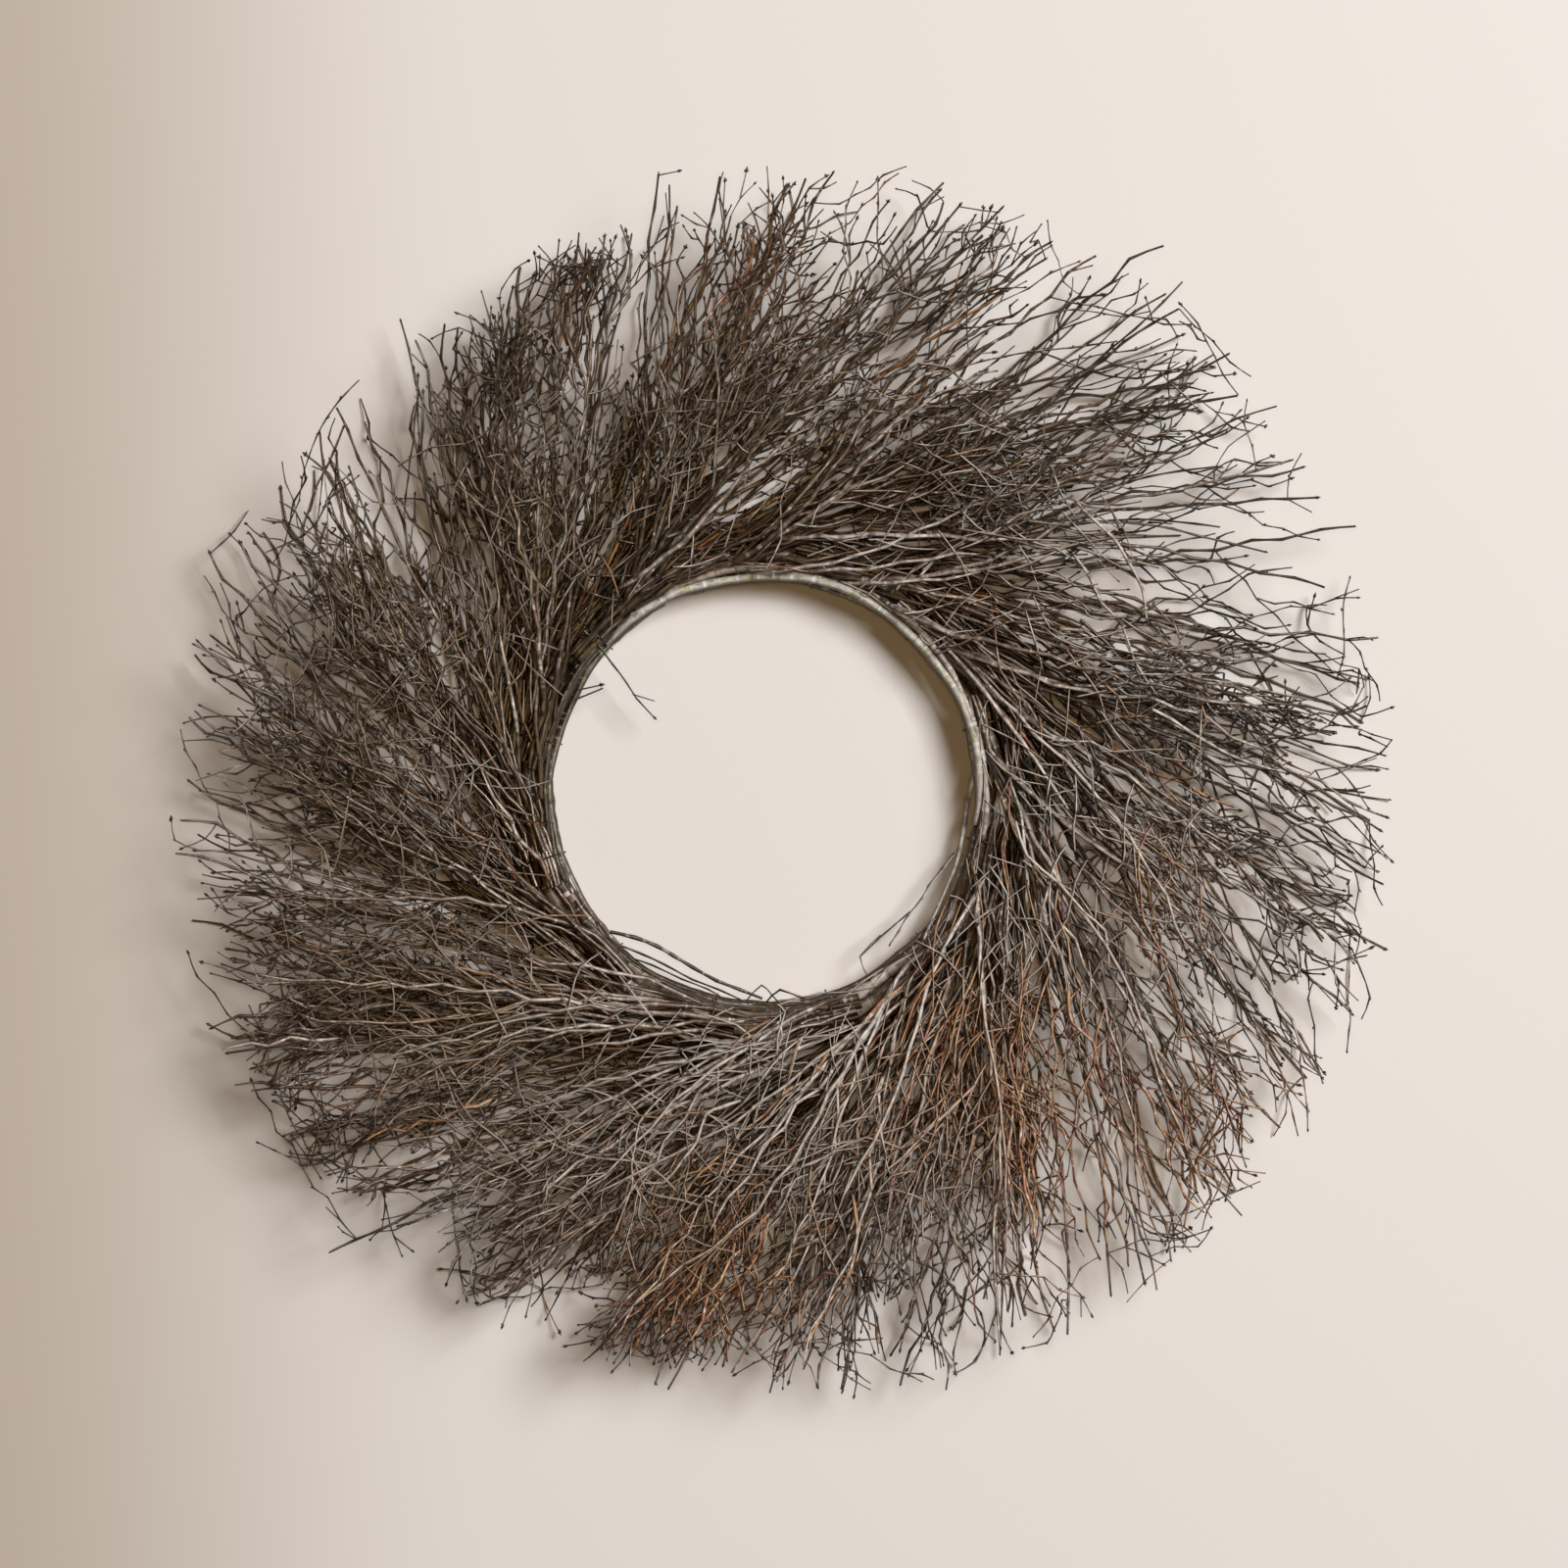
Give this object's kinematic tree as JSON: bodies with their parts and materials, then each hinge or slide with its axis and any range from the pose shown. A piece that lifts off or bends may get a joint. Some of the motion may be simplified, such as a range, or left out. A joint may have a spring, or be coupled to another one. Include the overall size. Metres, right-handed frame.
{
  "type": "twig wreath",
  "caption": "Open round wreath of bare twigs that sweep clockwise off a twisted hoop of bent stems, lying on its flat back.",
  "frame": {"origin": "on the surface the wreath lies on, under the middle of its box", "axes": "+Z out of the wreath's face; +Y towards the side that is uppermost when it hangs; +X to the right seen from the face"},
  "size_m": [0.6072, 0.6104, 0.0765],
  "materials": {
    "hoop_bark": "weathered, finely split grey-beige bark",
    "back_twigs": "matt dark brown twig bark",
    "middle_twigs": "matt grey-brown twig bark",
    "front_twigs": "matt silvery grey-brown twig bark with dark buds",
    "binding_wire": "dark annealed wire, dull"
  },
  "bodies": {
    "root": {"hoop_stem_1": "hoop_bark", "hoop_stem_2": "hoop_bark", "hoop_stem_3": "hoop_bark", "back_spray_01": "back_twigs", "back_spray_02": "back_twigs", "back_spray_03": "back_twigs", "back_spray_04": "back_twigs", "back_spray_05": "back_twigs", "back_spray_06": "back_twigs", "back_spray_07": "back_twigs", "back_spray_08": "back_twigs", "back_spray_09": "back_twigs", "back_spray_10": "back_twigs", "back_spray_11": "back_twigs", "back_spray_12": "back_twigs", "middle_spray_01": "middle_twigs", "middle_spray_02": "middle_twigs", "middle_spray_03": "middle_twigs", "middle_spray_04": "middle_twigs", "middle_spray_05": "middle_twigs", "middle_spray_06": "middle_twigs", "middle_spray_07": "middle_twigs", "middle_spray_08": "middle_twigs", "middle_spray_09": "middle_twigs", "middle_spray_10": "middle_twigs", "middle_spray_11": "middle_twigs", "middle_spray_12": "middle_twigs", "front_spray_01": "front_twigs", "front_spray_02": "front_twigs", "front_spray_03": "front_twigs", "front_spray_04": "front_twigs", "front_spray_05": "front_twigs", "front_spray_06": "front_twigs", "front_spray_07": "front_twigs", "front_spray_08": "front_twigs", "front_spray_09": "front_twigs", "front_spray_10": "front_twigs", "front_spray_11": "front_twigs", "front_spray_12": "front_twigs", "tie_01": "binding_wire", "tie_02": "binding_wire", "tie_03": "binding_wire", "tie_04": "binding_wire", "tie_05": "binding_wire", "tie_06": "binding_wire", "tie_07": "binding_wire", "tie_08": "binding_wire", "tie_09": "binding_wire", "tie_10": "binding_wire", "tie_11": "binding_wire", "tie_12": "binding_wire"}
  },
  "joints": []
}
